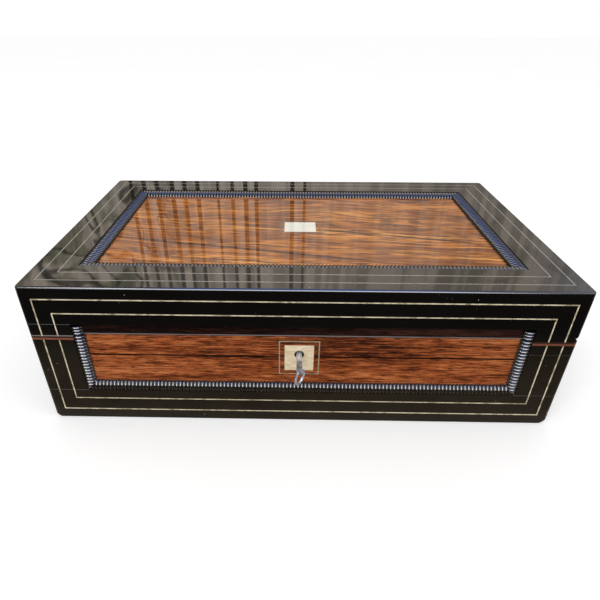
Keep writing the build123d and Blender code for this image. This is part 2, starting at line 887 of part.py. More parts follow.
# Base flap
write("base_flap_board", base_flap[0])
write("base_flap_leather", base_flap[1])
write("base_flap_pins", both_sides(base_flap[2]))
write("base_flap_tab", flap_tab())

# Hinges
write("hinge_base_leaves", [cut(leaf, base_hinge_screws) for leaf in at_hinges(hinge_leaf(0, -1))])
write("hinge_lid_leaves", [cut(leaf, lid_hinge_screws) for leaf in at_hinges(hinge_leaf(1, 1))])
write("hinge_pins", at_hinges(bar_along_x(hinge_pin_radius, (-hinge_length / 2, hinge_length / 2), 0, 0)))
write("hinge_base_screws", base_hinge_screws)
write("hinge_lid_screws", lid_hinge_screws)

# Lid carcass
under_core = block((-far, far), (-far, far), (0, top_ceiling))
lid_front, lid_back, lid_left, lid_right = wall_boards()
lid_wear_height = parting_front + parting_gap / 2
lid_wear = [
    corner_wear(1, lid_wear_height, -1, lid_right_wear),
    corner_wear(-1, lid_wear_height, -1, lid_left_wear),
]
catch = flap_catch()
front_tools = [link_mortise, *link_screws, *lid_wear, catch]
write("lid_front_board", cut(lid_front & above_rim & under_core, front_tools) & box_shape)
lid_hinge_tools = lid_hinge_rooms + lid_hinge_screws
write("lid_back_board", cut(lid_back & above_rim & under_core, lid_hinge_tools) & box_shape)
lid_flap_holes = both_sides(lid_flap[3])
write("lid_left_board", cut(lid_left & above_rim & under_core, lid_flap_holes) & box_shape)
write("lid_right_board", cut(lid_right & above_rim & under_core, lid_flap_holes) & box_shape)
core_heights = (top_ceiling, box_height - border)
core = block((-half_width, half_width), (core_front, half_depth), core_heights)
write("lid_top_board", core & box_shape)

# Lid borders and stringing
top_heights = (box_height - border, box_height)
long_strip = block((-half_width, half_width), (top_panel_y, half_depth), top_heights)
short_strip = block((top_panel_x, half_width), (-top_panel_y, top_panel_y), top_heights)
top_lines = top_strings()
top_strips = [long_strip, long_strip.mirror(Plane.XZ), *both_sides(short_strip)]
write("lid_top_border", [cut(strip, top_lines) & box_shape for strip in top_strips])
write("lid_top_stringing", top_lines)
lid_strips = [front_rail(front_border_high, box_height - border)]
lid_strips += [post & above_rim for post in front_posts(0, front_border_high)]
write("lid_front_border", [cut(strip, front_lines + lid_wear) & box_shape for strip in lid_strips])
write("lid_front_stringing", [line & above_rim for line in front_lines])

# Lid panels, plaque and mouldings
plaque, plaque_line = inlay(plaque_size, plaque_line_size)
plaque = Pos(0, 0, top_panel_face) * plaque
plaque_line = Pos(0, 0, top_panel_face) * plaque_line
top_panel = block(
    (-top_panel_x, top_panel_x), (-top_panel_y, top_panel_y), (box_height - border, top_panel_face)
)
write("lid_top_panel", cut(top_panel, [plaque, plaque_line]))
write("plaque", plaque)
write("plaque_line", plaque_line)
front_strip = block((-recess_x, recess_x), (panel_face, core_front), (0, front_border_high))
write("lid_front_panel", front_strip & above_rim)
write("lid_top_moulding", top_mouldings())
write("lid_front_moulding", front_returns())

# Link plate and lid flap
write("link_plate", cut(link_plate(), link_screws))
write("link_plate_screws", link_screws)
write("lid_flap_ledges", flap_ledges(lid_rim + flap_back, lid_rim + flap_back + ledge))
write("lid_flap_board", lid_flap[0])
write("lid_flap_leather", lid_flap[1])
write("lid_flap_pins", both_sides(lid_flap[2]))
write("lid_flap_catch", catch)
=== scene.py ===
import math
import random

import bmesh
import bpy
from mathutils import Matrix, Vector

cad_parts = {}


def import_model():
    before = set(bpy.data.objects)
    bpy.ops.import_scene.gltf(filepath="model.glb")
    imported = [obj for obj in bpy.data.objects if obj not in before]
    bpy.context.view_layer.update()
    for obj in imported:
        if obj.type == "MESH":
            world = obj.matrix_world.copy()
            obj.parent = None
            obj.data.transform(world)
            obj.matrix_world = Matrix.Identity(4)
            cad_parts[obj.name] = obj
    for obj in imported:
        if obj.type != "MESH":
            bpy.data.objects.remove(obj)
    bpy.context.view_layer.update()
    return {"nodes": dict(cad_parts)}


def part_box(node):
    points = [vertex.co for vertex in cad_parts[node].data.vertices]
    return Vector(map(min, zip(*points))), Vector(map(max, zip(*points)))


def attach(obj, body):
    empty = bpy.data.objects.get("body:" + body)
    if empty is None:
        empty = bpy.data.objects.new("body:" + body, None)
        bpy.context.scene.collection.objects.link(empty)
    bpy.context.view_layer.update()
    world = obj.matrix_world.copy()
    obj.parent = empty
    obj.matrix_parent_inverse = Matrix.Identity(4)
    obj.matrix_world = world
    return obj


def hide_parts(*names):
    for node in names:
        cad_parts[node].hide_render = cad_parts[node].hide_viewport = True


# A folding writing slope: the finish of its woods, metals, shell, glass and leather, and a studio round it.
# Everything is in metres, in the frame's own axes: X right, Y back, Z up. Colours are linear.
# Grain, clouds, pores and the like are given as three scales, per metre along X, Y and Z.

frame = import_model()
nodes = frame["nodes"]
mm = 0.001
right = Vector((1, 0, 0))
back = Vector((0, 1, 0))
up = Vector((0, 0, 1))

# Camera, as fitted to the box's edges in the photograph
camera_place = Vector((-9.1, -398.1, 286.5)) * mm
camera_yaw = -0.0193
camera_pitch = 0.5541
camera_roll = 0.0008
camera_lens = 28.40
camera_shift = (0.031, 0.0025)
camera_near = 0.01

# Places taken from the frame
lid_low, lid_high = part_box("lid_top_border")
pin_low, pin_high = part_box("hinge_pins")
panel_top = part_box("lid_top_panel")[1].z
rim_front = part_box("base_lipping")[1].z
half_width = lid_high.x
front_face = lid_low.y
back_face = lid_high.y
hinge_line = (pin_low + pin_high) / 2
rim_slope = (rim_front - hinge_line.z) / (hinge_line.y - front_face)

# The range that most noise stays in
noise_range = (0.3, 0.7)

# Black polish and what shows on it
ebony_black = (0.0042, 0.0036, 0.0030)
ebony_brown = (0.026, 0.020, 0.0125)
bare_wood = (0.42, 0.15, 0.045)
dust_white = (0.55, 0.53, 0.50)
# Grey of hairline splits, and of the painted highlight along the lid's lower edge
wear_and_highlight_grey = (0.26, 0.245, 0.25)
# Near-black for painted shade on the lipping, for the front's dark seam and for twigs round the studio
shade_and_seam_black = (0.002, 0.0015, 0.001)
ebony_grain = (25, 900, 900)
ebony_pores = (260, 5200, 5200)
ebony_cloud = (18, 18, 18)
ebony_scratches = (40, 2600, 2600)
ebony_scratch_span = (0.66, 0.74, 0.0, 0.12)
ebony_coat_blur = 0.03
ebony_spread = 0.14
polish_wave = (0.05 * mm, 0.2)
dust_scale = 240
dust_cloud = (70, 70, 70)
brown_top = 98 * mm
brown_foot = 42 * mm

# Wear: rubbed edges and a chip on the base's corner; and a painted highlight along the lid's lower edge:
# height and width
edge_reach = 0.5 * mm
edge_dots = (0.97, 0.80)
chip_place = Vector((half_width - 1 * mm, front_face + 1 * mm, 12 * mm))
chip_size = 2.4 * mm
post_inner = 167 * mm
black_lip_highlight = (0.9 * mm, 0.8 * mm)
black_lip_highlight_fade = 8 * mm
black_lip_highlight_share = 0.9
rosewood_lip_highlight = (0.8 * mm, 0.9 * mm)
rosewood_lip_highlight_share = 0.8

# Hairlines where the front strips meet or have split: height, and which side
front_cracks = ((92.5 * mm, -1), (30 * mm, -1), (30 * mm, 1), (70 * mm, 1))
crack_width = 0.28 * mm
crack_wander = 0.6 * mm
crack_fade = 1 * mm
crack_share = 0.55

# How far a face of the lid's border has turned when it counts as top, front, rounded edge or slope
top_turn = 0.95
front_turn = -0.97
arris_turn = 0.05
slope_turn = 0.45

# Rosewood of the lid, its colours from dark to light
top_wood = [
    (0.050, 0.012, 0.003),
    (0.165, 0.042, 0.008),
    (0.48, 0.145, 0.020),
    (0.72, 0.240, 0.034),
    (0.92, 0.385, 0.080),
]
top_coat = 0.78
top_coat_blur = 0.02
top_shine = 0.03
top_roughness = (0.24, 0.38)
top_cloud = (14, 14, 14)
top_warp = (6, 15, 15)
top_curl = (26, 46, 46)
top_curl_depth = 7 * mm
top_warp_front = -70 * mm
top_warp_back = 50 * mm
top_warp_least = 0.012
top_warp_most = 0.045
top_grain_lean = 0.09

# Lines of the lid's figure: place in the noise, width and strength
top_threads = ((0.5, 0.042, 1.0), (0.58, 0.026, 0.8), (0.42, 0.026, 0.8))
top_hairs = ((0.5, 0.085, 1.0), (0.60, 0.06, 1.0), (0.40, 0.05, 1.0))

# Long dark lines of the lid's panel: place, left end and right end; and its knots: place and size
streak_lean = 0.20
streak_bend = 0.2
streak_width = 3.0 * mm
streak_fade = 14 * mm
top_streaks = ((-55.5 * mm, -180 * mm, 60 * mm), (-2.2 * mm, 14 * mm, 150 * mm))
top_knots = (
    (Vector((80 * mm, 14 * mm, panel_top)), 9 * mm),
    (Vector((105 * mm, 15 * mm, panel_top)), 8 * mm),
    (Vector((-52 * mm, 24 * mm, panel_top)), 5 * mm),
)
knot_share = 0.6

# Rosewood of the front, its colours from dark to light
front_wood = [(0.024, 0.007, 0.003), (0.160, 0.036, 0.010), (0.36, 0.088, 0.022), (0.56, 0.190, 0.064)]
# The same rosewood darkened, for the lid's front strip under the border's overhang: painted shade
painted_shade_wood = [(0.004, 0.002, 0.0015), (0.009, 0.004, 0.003), (0.020, 0.007, 0.005), (0.050, 0.017, 0.011)]
front_tones = (0.41, 0.465, 0.52, 0.59)
front_coat_blur = 0.1
front_shine = 0.08
front_roughness = (0.28, 0.42)
front_warp = (9, 1, 30)
front_warp_depth = 5 * mm
front_pale_top = 59 * mm
front_pale_foot = 46 * mm
front_pale_lift = 0.026
front_dark = -25 * mm
front_dark_near = 40 * mm
front_dark_far = 140 * mm
front_dark_tones = (-0.024, 0.016)
front_streak = 62.5 * mm
front_streak_width = 1.5 * mm
front_streak_bend = 0.35

# Plain wood, and the painted shade over and under the lipping's line: a range of height, and the shares at
# its ends
plain_grain = (14, 520, 520)
plain_pores = (160, 3600, 3600)
plain_band = 0.12
plain_spread = 0.15
rim_upper = (-1.2 * mm, -0.7 * mm, 0.0, 0.92)
rim_lower = (-2.4 * mm, -2.9 * mm, 0.0, 0.95)
rim_skin_inner = 2.5 * mm
rim_skin_outer = 1.5 * mm

# Leather and its two gilt lines: inset and half width
skin_dark = (0.030, 0.006, 0.006)
skin_light = (0.075, 0.014, 0.012)
gilt_colour = (0.72, 0.52, 0.22)
gilt_lines = ((6 * mm, 0.9 * mm), (9 * mm, 0.4 * mm))
gilt_wear = (240, 240, 240)
skin_cells = 1500
skin_cloud = (22, 22, 22)
skin_roughness = (0.38, 0.56)

# Metal, paper and silk
metal_cloud = (170, 170, 170)
metal_grain = (1900, 1900, 1900)
metal_scratches = (300, 6000, 6000)
metal_scratch_span = (0.64, 0.72)
metal_spread = 0.22
scratch_dulls = 0.12
paper_fibres = (500, 500, 500)
paper_spots = (40, 40, 40)
paper_roughness = (0.75, 0.9)
silk_ribs = (120, 5200, 120)
silk_roughness = (0.45, 0.6)

# Shell, with its rose and green play, and glass
shell_layers = (140, 480, 480)
shell_warp = (90, 90, 90)
shell_roughness = (0.14, 0.30)
glass_waves = (120, 120, 120)
glass_tones = [(0.3, (0.86, 0.95, 0.92)), (0.7, (0.95, 0.99, 0.97))]
nacre_play = [
    (0.36, (1.0, 0.88, 0.80)),
    (0.48, (1.0, 1.0, 0.97)),
    (0.60, (0.92, 0.96, 0.90)),
    (0.70, (0.92, 0.92, 1.0)),
]
nacre_play_share = 0.55

# Ripple moulding
ripple_gloss = 2.1
ripple_blur = 0.13
arris_gloss = 1.95
arris_blur = 0.14
ripple_pitch = 2.875 * mm
ripple_depth = 1.05 * mm
ripple_rise = 4.15 * mm
top_ripple_width = 9.4 * mm
front_ripple_width = 7.9 * mm
peak_share = 0.30
wall_share = 0.85
bead_steps = 10
arc_steps = 14
mitre_rounds = 3
weld_reach = 0.004 * mm
crease_angle = math.radians(55)

# Silk tab, its tail, height and waves as shares of the room that the CAD node takes up
ribbon_rows = 22
ribbon_columns = 14
ribbon_thickness = 0.15 * mm
ribbon_tail = 0.16
ribbon_height = 0.65
ribbon_long_wave = 0.12
ribbon_cross_wave = 0.08

# Floor, and the dark cloth in front of the object
floor_tones = [(0.3, (0.86, 0.86, 0.86)), (0.7, (0.88, 0.88, 0.88))]
floor_cloud = (3, 3, 3)
floor_lift = 0.30
floor_reach = 6.0
flag_near = -0.13
flag_far = -2.2
flag_half = 1.3
flag_lift = 0.002

# The slats stand behind the box; their reflections cross the lid from back to front
slat_places = (0.2, 1.18, 2.16, 3.3, 4.24, 5.22, 6.74, 7.84, 8.83, 9.65, 12.37, 13.3)
slat_left = -0.712
slat_step = 0.0575
slat_half = 0.0078
slat_back = 1.6
slat_low = 0.25
slat_high = 1.35
slat_seed = 5
cloth_tones = [(0.3, (0.010, 0.008, 0.006)), (0.7, (0.030, 0.024, 0.018))]
cloth_weave = (9, 9, 2)
cloth_fade = (0.72, 1.06)
cloth_fade_share = 0.8
cloth_top = (0.55, 0.48, 0.40)

# World, by how far a direction points right, back and up: a range, and the values at its two ends
white = (1, 1, 1)
even_light = 0.78
wall_stops = [
    (0.0, (0.08, 0.07, 0.06)),
    (0.24, (0.22, 0.20, 0.18)),
    (0.31, (0.86, 0.76, 0.64)),
    (0.55, (1.0, 0.86, 0.72)),
]
wall_start = (-0.05, 0.20)
wall_strength = (1.06, 1.70)
wall_climb = (0.28, 0.50)
wall_aside = (-0.12, 0.30, 1.08, 0.74)
pane_scale = 42
pane_height = 3
pane_shades = (0.42, 0.60, 0.72, 1.08)
leaf_colour = (0.20, 0.22, 0.10)
leaf_scale = 19
leaf_left = (-0.05, -0.34, 0.10, 0.72)
leaf_right = (0.18, 0.38, 0.0, 0.38)
twig_scale = 9
twig_width = 0.045
twig_left = (-0.12, -0.34, 0.0, 0.8)
haze_blue = (0.55, 0.62, 0.85)
haze_right = (0.42, 0.60, 0.0, 0.6)
front_white = (0.90, 0.93, 1.0)
front_strength = 5.6
front_aside = (0.44, 0.62, 1.0, 0.06)
least_depth = 0.05
sky_start = (0.60, 0.80)
sky_blue = (0.22, 0.36, 1.0)
side_blue = (0.34, 0.38, 0.62)
side_start = (0.22, 0.38)
sky_climb = (0.86, 0.99, 2.6, 1.2)
sky_left = (-0.18, -0.34, 1.0, 0.12)
sky_right = (0.22, 0.40, 1.0, 0.5)

# Lamps: name, place, width and power
lamp_aim = Vector((0, 0, 0.08))
lamps = (
    ("key lamp", Vector((-0.9, -1.1, 1.5)), 0.5, 7),
    ("fill lamp", Vector((1.2, -0.6, 1.1)), 0.8, 3),
)


class Tree:
    """A node tree under construction; each call adds a node and returns its output."""

    def __init__(self, tree):
        self.nodes = tree.nodes
        self.links = tree.links
        self.place = None

    def put(self, value, socket):
        """Sets a socket to a number or colour, or links an output to it."""
        if isinstance(value, bpy.types.NodeSocket):
            self.links.new(value, socket)
        elif socket.type == "RGBA":
            socket.default_value = (*value, 1)
        else:
            socket.default_value = value

    def stretch(self, scale, shift=(0, 0, 0)):
        """The place on the object, scaled along each axis."""
        node = self.nodes.new("ShaderNodeMapping")
        self.put(self.place, node.inputs["Vector"])
        node.inputs["Scale"].default_value = scale
        node.inputs["Location"].default_value = shift
        return node.outputs["Vector"]

    def noise(self, place, scale=1.0, detail=4.0, roughness=0.5, distortion=0.0):
        """Soft noise."""
        node = self.nodes.new("ShaderNodeTexNoise")
        self.put(place, node.inputs["Vector"])
        node.inputs["Scale"].default_value = scale
        node.inputs["Detail"].default_value = detail
        node.inputs["Roughness"].default_value = roughness
        node.inputs["Distortion"].default_value = distortion
        return node.outputs["Fac"]

    def grain(self, scale, shift=(0, 0, 0), **settings):
        """Soft noise over the object, drawn out by a scale along each axis."""
        return self.noise(self.stretch(scale, shift), **settings)

    def cells(self, scale, feature="F1"):
        """A cell pattern over the object."""
        node = self.nodes.new("ShaderNodeTexVoronoi")
        node.feature = feature
        self.put(self.place, node.inputs["Vector"])
        node.inputs["Scale"].default_value = scale
        return node.outputs["Distance"]

    def math(self, operation, a, b=0.0, clamp=False):
        """One step of arithmetic."""
        node = self.nodes.new("ShaderNodeMath")
        node.operation = operation
        node.use_clamp = clamp
        self.put(a, node.inputs[0])
        self.put(b, node.inputs[1])
        return node.outputs[0]

    def chain(self, operation, first, *others):
        """One kind of arithmetic over several values in turn."""
        total = first
        for value in others:
            total = self.math(operation, total, value)
        return total

    def times(self, *values):
        """All the values multiplied."""
        return self.chain("MULTIPLY", *values)

    def plus(self, *values):
        """All the values added."""
        return self.chain("ADD", *values)

    def most(self, *values):
        """The largest of the values."""
        return self.chain("MAXIMUM", *values)

    def minus(self, a, b):
        """One value less another."""
        return self.math("SUBTRACT", a, b)

    def amount(self, value):
        """A value without its sign."""
        return self.math("ABSOLUTE", value)

    def sway(self, noise, depth):
        """A noise turned into a shift to either side."""
        return self.times(self.minus(noise, 0.5), depth)

    def span(self, value, low, high, to_low=0.0, to_high=1.0):
        """A value carried from one range to another, and kept inside it."""
        node = self.nodes.new("ShaderNodeMapRange")
        node.interpolation_type = "SMOOTHSTEP"
        self.put(value, node.inputs["Value"])
        limits = {"From Min": low, "From Max": high, "To Min": to_low, "To Max": to_high}
        for socket, number in limits.items():
            node.inputs[socket].default_value = number
        return node.outputs["Result"]

    def ramp(self, value, stops):
        """A colour for each value, from stops of place and colour."""
        node = self.nodes.new("ShaderNodeValToRGB")
        self.put(value, node.inputs["Fac"])
        ends = node.color_ramp.elements
        for i, (place, colour) in enumerate(stops):
            stop = ends[i] if i < len(ends) else ends.new(place)
            stop.position = place
            stop.color = (*colour, 1)
        return node.outputs["Color"]

    def mix(self, share, a, b, blend="MIX"):
        """Two colours mixed."""
        node = self.nodes.new("ShaderNodeMix")
        node.data_type = "RGBA"
        node.blend_type = blend
        self.put(share, node.inputs["Factor"])
        self.put(a, node.inputs["A"])
        self.put(b, node.inputs["B"])
        return node.outputs["Result"]

    def axes(self, place=None):
        """The three numbers of a place."""
        node = self.nodes.new("ShaderNodeSeparateXYZ")
        self.put(place or self.place, node.inputs[0])
        return node.outputs[0], node.outputs[1], node.outputs[2]

    def join(self, x, y, z):
        """A place from three numbers."""
        node = self.nodes.new("ShaderNodeCombineXYZ")
        for value, socket in zip((x, y, z), node.inputs):
            self.put(value, socket)
        return node.outputs[0]

    def near(self, point, size):
        """One close to a point, and nought a size away from it."""
        node = self.nodes.new("ShaderNodeVectorMath")
        node.operation = "DISTANCE"
        self.put(self.place, node.inputs[0])
        node.inputs[1].default_value = point
        return self.span(node.outputs["Value"], size, 0.4 * size)

    def rays(self, *names):
        """One for any of the named kinds of ray."""
        path = self.nodes.new("ShaderNodeLightPath")
        return self.most(*(path.outputs[name] for name in names))

    def line_at(self, value, middle, width):
        """One where a value is within half a width of the middle."""
        off = self.amount(self.minus(value, middle))
        return self.span(off, 0.75 * width, 0.25 * width)

    def lines_at(self, value, lines):
        """The strongest of several lines, each a middle, a width and a strength."""
        return self.most(*(self.times(self.line_at(value, *line[:2]), line[2]) for line in lines))


class Finish(Tree):
    """A material under construction."""

    def __init__(self, name, **settings):
        self.material = bpy.data.materials.new(name)
        self.material.use_nodes = True
        super().__init__(self.material.node_tree)
        self.shader = self.nodes["Principled BSDF"]
        self.place = self.nodes.new("ShaderNodeTexCoord").outputs["Object"]
        for socket, value in settings.items():
            self.shader.inputs[socket.replace("_", " ")].default_value = value

    def paint(self, socket, value):
        """Gives the shader one of its inputs."""
        self.put(value, self.shader.inputs[socket])

    def lacquer(self, gloss, blur):
        """Makes the clear coat reflect more, and softly."""
        self.shader.inputs["Coat IOR"].default_value = gloss
        self.shader.inputs["Coat Roughness"].default_value = blur

    def flat_normal(self):
        """The surface's own direction."""
        return self.nodes.new("ShaderNodeNewGeometry").outputs["Normal"]

    def edges(self):
        """One on sharp outer edges, and nought on flats."""
        bevel = self.nodes.new("ShaderNodeBevel")
        bevel.samples = 4
        bevel.inputs["Radius"].default_value = edge_reach
        dot = self.nodes.new("ShaderNodeVectorMath")
        dot.operation = "DOT_PRODUCT"
        self.links.new(bevel.outputs["Normal"], dot.inputs[0])
        self.links.new(self.flat_normal(), dot.inputs[1])
        return self.span(dot.outputs["Value"], *edge_dots)

    def bump(self, height, distance, strength=1.0, under=None):
        """A relief of the given height in metres."""
        node = self.nodes.new("ShaderNodeBump")
        node.inputs["Distance"].default_value = distance
        node.inputs["Strength"].default_value = strength
        self.put(height, node.inputs["Height"])
        if under is not None:
            self.put(under, node.inputs["Normal"])
        return node.outputs["Normal"]

    def above_rim(self):
        """The height above the sloping parting of lid and base."""
        _, y, z = self.axes()
        run = self.times(self.minus(y, front_face), rim_slope)
        return self.plus(self.minus(z, rim_front), run)

    def dress(self, *names):
        """Puts the finished material on CAD nodes."""
        for name in names:
            mesh = nodes[name].data
            mesh.materials.clear()
            mesh.materials.append(self.material)

    def dress_piece(self, piece):
        """Puts the finished material on a new piece."""
        piece.data.materials.append(self.material)


def facing(normal):
    """Which material a face takes by its direction: top, front, rounded front edge or sides."""
    if normal.z > top_turn:
        return 0
    if normal.y < front_turn:
        return 1
    if normal.z > arris_turn and normal.y < -arris_turn:
        return 2
    return 0 if normal.z > slope_turn else 3


def dress_by_facing(finishes, *names):
    """Gives the upward, forward, rounded front and other faces of CAD nodes a material each."""
    for name in names:
        mesh = nodes[name].data
        mesh.materials.clear()
        for finish in finishes:
            mesh.materials.append(finish.material)
        for face in mesh.polygons:
            face.material_index = facing(face.normal)


# Black polish


def hairlines(finish, x, z, cloud, grain, cracks):
    """One on the hairlines of a front's posts."""
    level_here = finish.plus(z, finish.sway(cloud, crack_wander))
    lines = []
    for level, side in cracks:
        line = finish.line_at(level_here, level, crack_width)
        post = finish.span(finish.times(x, side), post_inner - crack_fade, post_inner)
        lines.append(finish.times(line, post, finish.span(grain, 0.35, 0.5, 0.3, 1.0)))
    return finish.most(*lines)


def lid_edge_highlight(finish, x, cloud):
    """One along the lid's lower edge, as far as the right post: a painted highlight."""
    lip_highlight = finish.line_at(finish.above_rim(), *black_lip_highlight)
    inner = finish.span(x, post_inner, post_inner - black_lip_highlight_fade)
    return finish.times(lip_highlight, inner, finish.span(cloud, 0.35, 0.6, 0.5, 1.0), black_lip_highlight_share)


def dust(finish):
    """One on sparse specks of dust."""
    specks = finish.span(finish.cells(dust_scale), 0.085, 0.05)
    sparse = finish.span(finish.grain(dust_cloud, (5, 2, 9)), 0.58, 0.64)
    return finish.times(specks, sparse)


def ebonised(name, specular, coat, roughness, brown_low, cracks=(), lip_highlight=False):
    """Black polish over close-grained wood: pores, rubbed edges, fine scratches, dust and a browner foot."""
    finish = Finish(name, Specular_IOR_Level=specular, Coat_Weight=coat, Coat_Roughness=ebony_coat_blur)
    grain = finish.grain(ebony_grain, detail=6, roughness=0.6)
    pores = finish.grain(ebony_pores, detail=2)
    cloud = finish.grain(ebony_cloud, detail=3)
    scratch = finish.grain(ebony_scratches, (3, 1, 7), detail=1)
    x, _, z = finish.axes()
    low = finish.span(z, brown_top, brown_foot, 0.0, brown_low)
    brown = finish.times(low, finish.span(cloud, *noise_range, 0.7, 1.0))
    brown = finish.plus(brown, finish.span(grain, 0.55, 0.8, 0.0, 0.12))
    colour = finish.mix(brown, ebony_black, ebony_brown)
    worn = finish.times(finish.edges(), finish.span(cloud, 0.50, 0.75), 0.5)
    colour = finish.mix(worn, colour, ebony_brown)
    colour = finish.mix(finish.near(chip_place, chip_size), colour, bare_wood)
    relief = finish.bump(cloud, *polish_wave)
    relief = finish.bump(finish.span(pores, 0.62, 0.75), -0.015 * mm, 0.5, relief)
    if cracks:
        split = hairlines(finish, x, z, cloud, grain, cracks)
        colour = finish.mix(finish.times(split, crack_share), colour, wear_and_highlight_grey)
        relief = finish.bump(split, -0.1 * mm, 0.8, relief)
    # A painted highlight along the lid's lower edge, in grey
    if lip_highlight:
        colour = finish.mix(lid_edge_highlight(finish, x, cloud), colour, wear_and_highlight_grey)
    finish.paint("Base Color", finish.mix(dust(finish), colour, dust_white))
    rough = finish.span(cloud, 0.3, 0.75, roughness, roughness + ebony_spread)
    finish.paint("Roughness", finish.plus(rough, finish.span(scratch, *ebony_scratch_span)))
    finish.paint("Normal", relief)
    return finish


# Rosewood


def grain_source(finish, x, line, upright):
    """A source of noise drawn out along the grain's own bent lines, on a lying or an upright board."""

    def along_grain(x_scale, line_scale, seed, detail, roughness=0.6):
        along = finish.times(x, x_scale)
        across = finish.times(line, line_scale)
        place = finish.join(along, seed, across) if upright else finish.join(along, across, seed)
        return finish.noise(place, detail=detail, roughness=roughness)

    return along_grain


def top_figure(finish, along_grain):
    """The lid's figure: bands, rings, dark contour lines and fibres."""
    bands = along_grain(3, 45, 0.0, 3)
    colour = finish.ramp(bands, [(0.36, top_wood[2]), (0.50, top_wood[3]), (0.62, top_wood[4])])
    rings = along_grain(6, 330, 3.0, 5)
    colour = finish.mix(finish.span(rings, 0.52, 0.38, 0.0, 0.8), colour, top_wood[2])
    thread = finish.lines_at(along_grain(4, 95, 7.0, 3), top_threads)
    broken = finish.span(along_grain(14, 60, 11.0, 2), 0.38, 0.55, 0.2, 0.95)
    colour = finish.mix(finish.times(thread, broken), colour, top_wood[0])
    fibre = along_grain(30, 380, 15.0, 5)
    return finish.mix(finish.span(fibre, 0.53, 0.62, 0.0, 0.7), colour, top_wood[1])


def dark_streaks(finish, colour, x, slant, curl):
    """The long dark lines of the lid, over a colour."""
    for start, left, far in top_streaks:
        streak = finish.times(
            finish.line_at(slant, start, streak_width),
            finish.span(x, left, left + streak_fade),
            finish.span(x, far, far - streak_fade),
            finish.span(curl, 0.36, 0.52, 0.45, 1.0),
        )
        colour = finish.mix(streak, colour, top_wood[0])
    return colour


def rosewood_top():
    """Polished rosewood of the lid: swirling figure, short pores, long dark lines and knots."""
    finish = Finish(
        "rosewood top", Coat_Weight=top_coat, Coat_Roughness=top_coat_blur, Specular_IOR_Level=top_shine
    )
    x, y, _ = finish.axes()
    warp = finish.grain(top_warp, detail=2)
    curl = finish.grain(top_curl, (2, 5, 1), detail=3)
    deep = finish.span(y, top_warp_front, top_warp_back, top_warp_least, top_warp_most)
    bend = finish.plus(finish.sway(warp, deep), finish.sway(curl, top_curl_depth))
    line = finish.plus(y, finish.times(x, top_grain_lean), bend)
    along_grain = grain_source(finish, x, line, False)
    colour = top_figure(finish, along_grain)
    hair = finish.lines_at(along_grain(8, 190, 19.0, 2, 0.45), top_hairs)
    hair = finish.times(hair, finish.span(along_grain(22, 80, 23.0, 2), 0.42, 0.55, 0.35, 1.0))
    colour = finish.mix(hair, colour, top_wood[1])
    slant = finish.plus(y, finish.times(bend, streak_bend), finish.times(x, streak_lean))
    colour = dark_streaks(finish, colour, x, slant, curl)
    for knot, size in top_knots:
        colour = finish.mix(finish.times(finish.near(knot, size), knot_share), colour, top_wood[0])
    finish.paint("Base Color", colour)
    cloud = finish.grain(top_cloud, detail=3)
    finish.paint("Roughness", finish.span(cloud, *noise_range, *top_roughness))
    relief = finish.bump(cloud, *polish_wave)
    finish.paint("Normal", finish.bump(hair, -0.02 * mm, 0.4, relief))
    return finish


def rosewood_front(name, shade, coat, lip_highlight=False):
    """Rosewood with straight grain along X: short dark and bright streaks, and one long dark line."""
    finish = Finish(name, Coat_Weight=coat, Coat_Roughness=front_coat_blur, Specular_IOR_Level=front_shine)
    x, _, z = finish.axes()
    warp = finish.grain(front_warp, detail=3)
    bend = finish.sway(warp, front_warp_depth)
    along_grain = grain_source(finish, x, finish.plus(z, bend), True)
    bands = along_grain(5, 100, 0.0, 3)
    streaks = along_grain(52, 800, 3.0, 6, 0.75)
    fine = along_grain(75, 900, 6.0, 4, 0.7)
    foot = finish.span(z, front_pale_top, front_pale_foot, 0.0, front_pale_lift)
    from_dark = finish.amount(finish.minus(x, front_dark))
    ends = finish.span(from_dark, front_dark_near, front_dark_far, *front_dark_tones)
    tone = finish.plus(finish.times(bands, 0.35), finish.times(streaks, 0.65), foot, ends)
    colour = finish.ramp(tone, zip(front_tones, shade))
    colour = finish.mix(finish.span(fine, 0.54, 0.60, 0.0, 0.8), colour, shade[0])
    level = finish.plus(z, finish.times(bend, front_streak_bend))
    seam = finish.line_at(level, front_streak, front_streak_width)
    seam = finish.times(seam, finish.span(along_grain(18, 1, 9.0, 2), 0.35, 0.5, 0.5, 0.98))
    colour = finish.mix(seam, colour, shade_and_seam_black)
    # A painted highlight along the lid's lower edge, broken here and there
    if lip_highlight:
        edge = finish.line_at(finish.above_rim(), *rosewood_lip_highlight)
        broken = finish.span(along_grain(12, 1, 13.0, 2), 0.35, 0.5, 0.4, 1.0)
        colour = finish.mix(finish.times(edge, broken, rosewood_lip_highlight_share), colour, wear_and_highlight_grey)
    finish.paint("Base Color", colour)
    finish.paint("Roughness", finish.span(warp, *noise_range, *front_roughness))
    relief = finish.bump(streaks, 0.03 * mm, 0.3)
    finish.paint("Normal", finish.bump(finish.span(fine, 0.54, 0.66), -0.02 * mm, 0.5, relief))
    return finish


# Plain wood


def rim_shadow(finish):
    """One on the outer faces of the lipping, in bands over and under its reddish line: painted shade."""
    upright = finish.span(finish.axes(finish.flat_normal())[2], 0.7, 0.3)
    height = finish.above_rim()
    gaps = finish.most(finish.span(height, *rim_upper), finish.span(height, *rim_lower))
    x, y, _ = finish.axes()
    beside = finish.span(finish.amount(x), half_width - rim_skin_inner, half_width - rim_skin_outer)
    ahead = finish.span(y, front_face + rim_skin_inner, front_face + rim_skin_outer)
    behind = finish.span(y, back_face - rim_skin_inner, back_face - rim_skin_outer)
    return finish.times(gaps, upright, finish.most(beside, ahead, behind))


